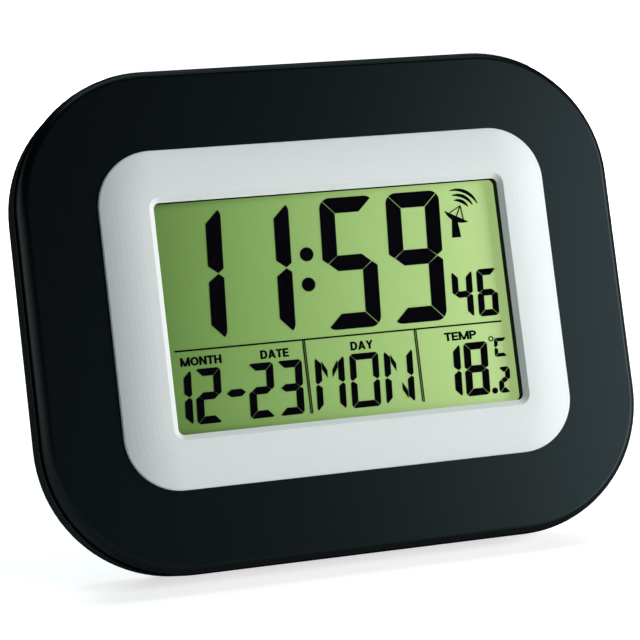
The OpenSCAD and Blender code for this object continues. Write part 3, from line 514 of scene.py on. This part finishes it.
def add_label(words, left, right):
    """Bold words on the display's front glass, fitted between two places."""
    share = (right - left - LABEL_GAP * (len(words) - 1)) / sum(LETTER_WIDTHS[w] for w in words)
    bands = []
    for name in words:
        wide = LETTER_WIDTHS[name] * share
        for pairs, ring in letter(name, wide):
            bands.append(([[(left + x, LABEL_LOW + z) for x, z in pair] for pair in pairs], ring))
        left += wide + LABEL_GAP
    add_print("label_" + words.lower(), bands, GLASS_Y, -1, "case", "display_ink")


# Generic signs printed on the back, as strokes in mm about their middle
DIAL_RADIUS = 2.2
DIAL_STEPS = 32
SUN_RADIUS = 0.9
SUN_STEPS = 20
RAY_COUNT = 8
RAY_IN = 1.5
RAY_OUT = 2.3
WAVE_RADII = (1.1, 2.3, 3.5)


def circle(radius, steps):
    return arc(0, 0, radius, radius, 0, 360, steps)


def ray(angle):
    along = Vector((math.cos(angle), math.sin(angle)))
    return [tuple(RAY_IN * along), tuple(RAY_OUT * along)]


SIGN_CLOCK = [circle(DIAL_RADIUS, DIAL_STEPS), [(0, 1.5), (0, 0), (1.1, -0.6)]]
SIGN_BELL = [[(-2, -1.4), (-1.3, -0.6), *arc(0, 0.5, 1.3, 1.5, 180, 0), (1.3, -0.6), (2, -1.4), (-2, -1.4)],
             [(-0.5, -2.1), (0.5, -2.1)]]
SIGN_UP = [[(-2, -1.4), (0, 2), (2, -1.4), (-2, -1.4)]]
SIGN_DOWN = [[(-2, 1.4), (2, 1.4), (0, -2), (-2, 1.4)]]
SIGN_WAVES = [arc(-1.7, -1.7, r, r, 5, 85) for r in WAVE_RADII]
SIGN_LIGHT = [circle(SUN_RADIUS, SUN_STEPS)] + [ray(math.tau * i / RAY_COUNT) for i in range(RAY_COUNT)]
SIGN_PLUS = [[(-0.8, 0), (0.8, 0)], [(0, -0.8), (0, 0.8)]]
SIGN_MINUS = [[(-0.8, 0), (0.8, 0)]]
SIGN_HALF = 0.2

# Where the signs go, in mm: over the buttons, on the ledge of the battery bay, and on its door
BACK_Y = 26.5
BUTTON_X = (-55, -33, -11, 11, 33, 55)
BUTTON_SIGN_Z = 151.6
LEDGE_Y = 24.6
LEDGE_X = 30.2
LOW_CELL_Z = 99.1
HIGH_CELL_Z = 113.8
ARROW_Z = 104.0


def at(sign, x, z):
    """A sign's strokes, moved to a place, as bands."""
    return [ribbon_edges([(x + u, z + w) for u, w in points], SIGN_HALF) for points in sign]


def add_signs():
    signs = (SIGN_CLOCK, SIGN_BELL, SIGN_UP, SIGN_DOWN, SIGN_WAVES, SIGN_LIGHT)
    for i, (x, sign) in enumerate(zip(BUTTON_X, signs)):
        add_print(f"button_sign_{i + 1}", at(sign, x, BUTTON_SIGN_Z), BACK_Y, 1, "case", "white_moulding")
    marks = at(SIGN_PLUS, LEDGE_X, LOW_CELL_Z) + at(SIGN_MINUS, -LEDGE_X, LOW_CELL_Z)
    marks += at(SIGN_PLUS, -LEDGE_X, HIGH_CELL_Z) + at(SIGN_MINUS, LEDGE_X, HIGH_CELL_Z)
    add_print("polarity_marks", marks, LEDGE_Y, 1, "case", "white_moulding")
    add_print("door_arrow", at(SIGN_DOWN, 0, ARROW_Z), BACK_Y, 1, "battery_door", "white_moulding")


def joined(tree, operation, first, second):
    """A Math node of two outputs."""
    node = tree.nodes.new("ShaderNodeMath")
    node.operation = operation
    tree.links.new(first, node.inputs[0])
    tree.links.new(second, node.inputs[1])
    return node.outputs["Value"]


def ranged(tree, value, low, high, start, end):
    """A smooth run of an output from start to end, between two of its values."""
    node = tree.nodes.new("ShaderNodeMapRange")
    node.interpolation_type = "SMOOTHSTEP"
    for name, number in (("From Min", low), ("From Max", high), ("To Min", start), ("To Max", end)):
        node.inputs[name].default_value = number
    tree.links.new(value, node.inputs["Value"])
    return node.outputs["Result"]


# Floor: diffuse, with a white glow that only the camera, gloss and glass see. The glow is weaker near the
# clock, so that the shadow stays. Its near strengths are for the camera, and for gloss and glass.
FLOOR_HALF = 8.0
FLOOR_COLOUR = (0.93, 0.93, 0.93, 1)
WHITE_FROM = 0.25
WHITE_TO = 0.7
WHITE_NEAR = 0.64
WHITE_NEAR_GLOSS = 0.05


def add_floor():
    mesh = bpy.data.meshes.new("floor")
    h = FLOOR_HALF
    mesh.from_pydata([(-h, -h, 0), (h, -h, 0), (h, h, 0), (-h, h, 0)], [], [(0, 1, 2, 3)])
    floor = bpy.data.objects.new("floor", mesh)
    scene.collection.objects.link(floor)
    mat = bpy.data.materials.new("floor")
    mat.use_nodes = True
    tree = mat.node_tree
    tree.nodes.clear()
    diffuse = tree.nodes.new("ShaderNodeBsdfDiffuse")
    diffuse.inputs["Color"].default_value = FLOOR_COLOUR
    place = tree.nodes.new("ShaderNodeTexCoord")
    distance = tree.nodes.new("ShaderNodeVectorMath")
    distance.operation = "LENGTH"
    tree.links.new(place.outputs["Object"], distance.inputs[0])
    away = distance.outputs["Value"]
    rays = tree.nodes.new("ShaderNodeLightPath").outputs
    mirrored = joined(tree, "MAXIMUM", rays["Is Glossy Ray"], rays["Is Transmission Ray"])
    shown = joined(tree, "MULTIPLY", rays["Is Camera Ray"],
                   ranged(tree, away, WHITE_FROM, WHITE_TO, WHITE_NEAR, 1.0))
    glossed = joined(tree, "MULTIPLY", mirrored,
                     ranged(tree, away, WHITE_FROM, WHITE_TO, WHITE_NEAR_GLOSS, 1.0))
    white = tree.nodes.new("ShaderNodeEmission")
    tree.links.new(joined(tree, "MAXIMUM", shown, glossed), white.inputs["Strength"])
    both = tree.nodes.new("ShaderNodeAddShader")
    tree.links.new(diffuse.outputs["BSDF"], both.inputs[0])
    tree.links.new(white.outputs["Emission"], both.inputs[1])
    out = tree.nodes.new("ShaderNodeOutputMaterial")
    tree.links.new(both.outputs["Shader"], out.inputs["Surface"])
    mesh.materials.append(mat)


# Lamps: softboxes high up and a little behind, low at the right of the camera, and low behind for the back.
# Azimuth is 0 in front and 90 at the right. Angles are in degrees, sizes in metres, power in watts.
WHITE = (1.0, 1.0, 1.0)
COOL = (0.72, 1.0, 1.0)
LAMPS = {
    "overhead": dict(azimuth=165, elevation=72, roll=0, width=1.8, height=0.8, power=12, colour=COOL),
    "right": dict(azimuth=47, elevation=9, roll=-6, width=1.0, height=1.2, power=32.2, colour=WHITE),
    "behind": dict(azimuth=165, elevation=14, roll=0, width=1.2, height=1.0, power=16, colour=WHITE),
}
LAMP_AIM = Vector((0, 0.01, 0.09))
LAMP_DISTANCE = 1.6


def add_lamp(name, azimuth, elevation, roll, width, height, power, colour):
    data = bpy.data.lights.new(name, "AREA")
    data.shape = "RECTANGLE"
    data.size = width
    data.size_y = height
    data.energy = power
    data.color = colour
    lamp = bpy.data.objects.new(name, data)
    a = math.radians(azimuth)
    e = math.radians(elevation)
    away = Vector((math.sin(a) * math.cos(e), -math.cos(a) * math.cos(e), math.sin(e)))
    lamp.location = LAMP_AIM + LAMP_DISTANCE * away
    turn = Quaternion((0, 0, 1), math.radians(roll))
    lamp.rotation_euler = (away.to_track_quat("Z", "Y") @ turn).to_euler()
    scene.collection.objects.link(lamp)


# World: a dim fill, and a white backdrop. The camera sees it everywhere, gloss and glass low down,
# where it fades out between two heights of the unit sphere.
WORLD_COLOUR = (0.016, 0.022, 0.023, 1)
BACKDROP_LOW = 0.08
BACKDROP_HIGH = 0.22


def add_world():
    world = bpy.data.worlds.new("world")
    world.use_nodes = True
    scene.world = world
    tree = world.node_tree
    fill = tree.nodes["Background"]
    fill.inputs["Color"].default_value = WORLD_COLOUR
    place = tree.nodes.new("ShaderNodeTexCoord")
    split = tree.nodes.new("ShaderNodeSeparateXYZ")
    tree.links.new(place.outputs["Generated"], split.inputs["Vector"])
    low = ranged(tree, split.outputs["Z"], BACKDROP_LOW, BACKDROP_HIGH, 1.0, 0.0)
    rays = tree.nodes.new("ShaderNodeLightPath").outputs
    mirrored = joined(tree, "MAXIMUM", rays["Is Glossy Ray"], rays["Is Transmission Ray"])
    white = tree.nodes.new("ShaderNodeBackground")
    white.inputs["Color"].default_value = (1, 1, 1, 1)
    strength = joined(tree, "MAXIMUM", rays["Is Camera Ray"], joined(tree, "MULTIPLY", mirrored, low))
    tree.links.new(strength, white.inputs["Strength"])
    both = tree.nodes.new("ShaderNodeAddShader")
    tree.links.new(fill.outputs["Background"], both.inputs[0])
    tree.links.new(white.outputs["Background"], both.inputs[1])
    tree.links.new(both.outputs["Shader"], tree.nodes["World Output"].inputs["Surface"])


add_camera()
dress_nodes()
for label in LABELS:
    add_label(*label)
add_signs()
add_floor()
for lamp_name, settings in LAMPS.items():
    add_lamp(lamp_name, **settings)
add_world()
